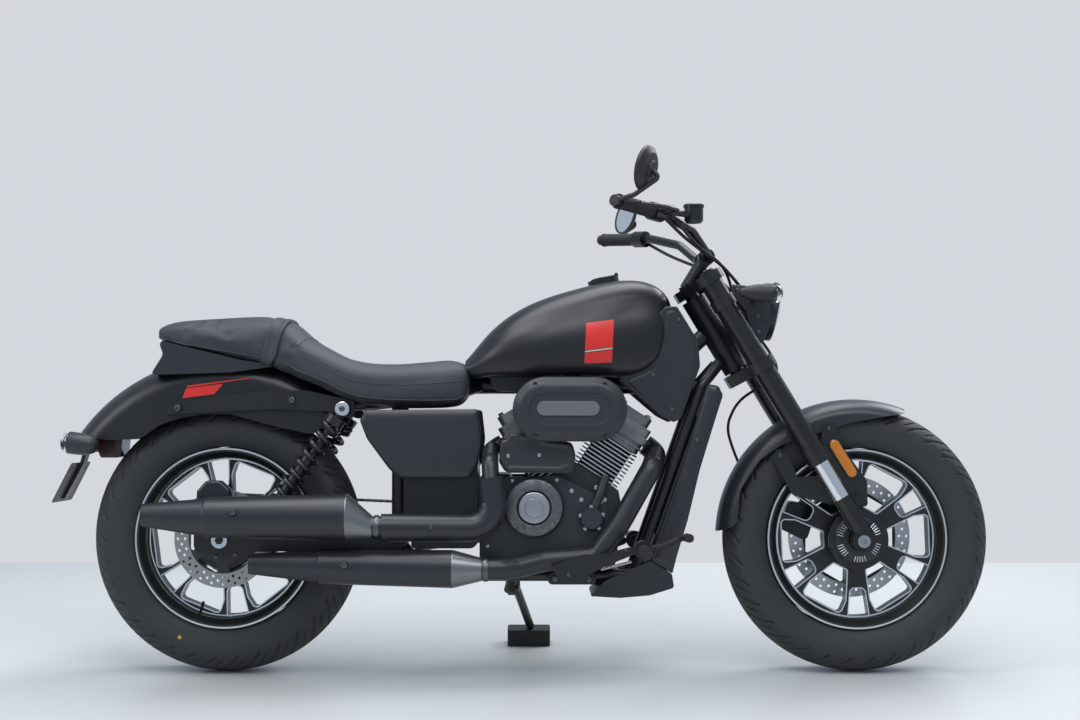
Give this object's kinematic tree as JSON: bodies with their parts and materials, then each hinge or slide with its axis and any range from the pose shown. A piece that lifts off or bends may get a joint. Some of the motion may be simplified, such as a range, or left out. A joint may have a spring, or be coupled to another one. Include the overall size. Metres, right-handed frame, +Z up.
{
  "type": "cruiser motorcycle",
  "caption": "Matte black cruiser motorcycle with a finned V-twin engine and drag bars, leaning on its side stand, with turning wheels, steering and folding stand.",
  "frame": {"origin": "on the floor below the middle of the parked machine's bounding box", "axes": "+X forward along the wheelbase, +Y to the rider's left, the side it leans to, +Z up"},
  "size_m": [2.2509, 0.955, 1.2431],
  "materials": {
    "tyre": "moulded rubber with tread",
    "cast_wheel": "satin black with machined edges",
    "disc_steel": "ground steel",
    "bright_steel": "polished",
    "frame_black": "semi-gloss black",
    "damper_black": "satin black",
    "matte_black_paint": "matte black paint",
    "seat_leather": "grained, stitched",
    "engine_black": "satin black wrinkle",
    "cylinder_alloy": "painted with machined fin edges",
    "exhaust_black": "matte heat-resistant black",
    "black_plastic": "fine texture",
    "black_rubber": "ribbed",
    "lever_black": "satin",
    "clear_lens": "clear",
    "red_lens": "ribbed lens",
    "plate": "blank"
  },
  "bodies": {
    "chassis": {"rear_pins": "bright_steel", "frame_spine": "frame_black", "frame_cradle": "frame_black", "swingarm": "frame_black", "shock_dampers": "damper_black", "shock_springs": "damper_black", "rear_fender": "matte_black_paint", "fender_struts": "frame_black", "tail_cowl": "matte_black_paint", "passenger_seat": "seat_leather", "rider_seat": "seat_leather", "tail_bracket": "frame_black", "tail_lamp": "red_lens", "number_plate": "plate", "rear_signals": "black_plastic", "fuel_tank": "matte_black_paint", "fuel_cap_ring": "bright_steel", "crankcase": "engine_black", "cylinder_barrels": "cylinder_alloy", "cylinder_heads": "cylinder_alloy", "case_covers": "engine_black", "engine_right_covers": "engine_black", "air_cleaner": "engine_black", "cleaner_plate": "bright_steel", "exhaust_headers": "exhaust_black", "mufflers": "exhaust_black", "muffler_hanger": "frame_black", "side_covers": "matte_black_paint", "radiator": "black_plastic", "chin_fairing": "matte_black_paint", "chain": "disc_steel", "rear_caliper": "damper_black", "step_brackets": "frame_black", "foot_controls": "black_rubber"},
    "steering": {"fork_legs": "damper_black", "stanchions": "bright_steel", "front_axle": "bright_steel", "front_caliper": "damper_black", "fork_yokes": "frame_black", "front_fender": "matte_black_paint", "front_brackets": "frame_black", "handlebar": "frame_black", "bar_clamps": "frame_black", "grips": "black_rubber", "levers": "lever_black", "mirror_housings": "black_plastic", "headlight": "engine_black", "headlight_lens": "clear_lens", "front_signals": "black_plastic", "control_cables": "black_rubber"},
    "front_wheel": {"front_tyre": "tyre", "front_rim": "cast_wheel", "front_disc": "disc_steel"},
    "rear_wheel": {"rear_tyre": "tyre", "rear_rim": "cast_wheel", "rear_disc": "disc_steel", "rear_sprocket": "disc_steel"},
    "stand": {"stand_leg": "frame_black", "stand_foot": "black_plastic"},
    "fuel_cap_lid": {"fuel_lid": "bright_steel"}
  },
  "joints": [
    {"name": "steering", "type": "hinge", "parent": "chassis", "child": "steering", "pos_m": [0.46815, -0.03029, 0.81447], "axis": [-0.515, 0.0747, 0.8539], "range_deg": [-34, 34]},
    {"name": "front_wheel_spin", "type": "hinge", "parent": "steering", "child": "front_wheel", "pos_m": [0.80546, -0.07364, 0.31906], "axis": [0, 0.9962, -0.0872], "continuous": true},
    {"name": "rear_wheel_spin", "type": "hinge", "parent": "chassis", "child": "rear_wheel", "pos_m": [-0.71454, -0.07337, 0.32209], "axis": [0, 0.9962, -0.0872], "continuous": true},
    {"name": "side_stand", "type": "hinge", "parent": "chassis", "child": "stand", "pos_m": [-0.02454, 0.02798, 0.19545], "axis": [0.1654, 0.6572, 0.7353], "range_deg": [0, 88]},
    {"name": "fuel_lid", "type": "hinge", "parent": "chassis", "child": "fuel_cap_lid", "pos_m": [0.22753, -0.01763, 0.95925], "axis": [0, 0.9962, -0.0872], "range_deg": [0, 100]}
  ]
}
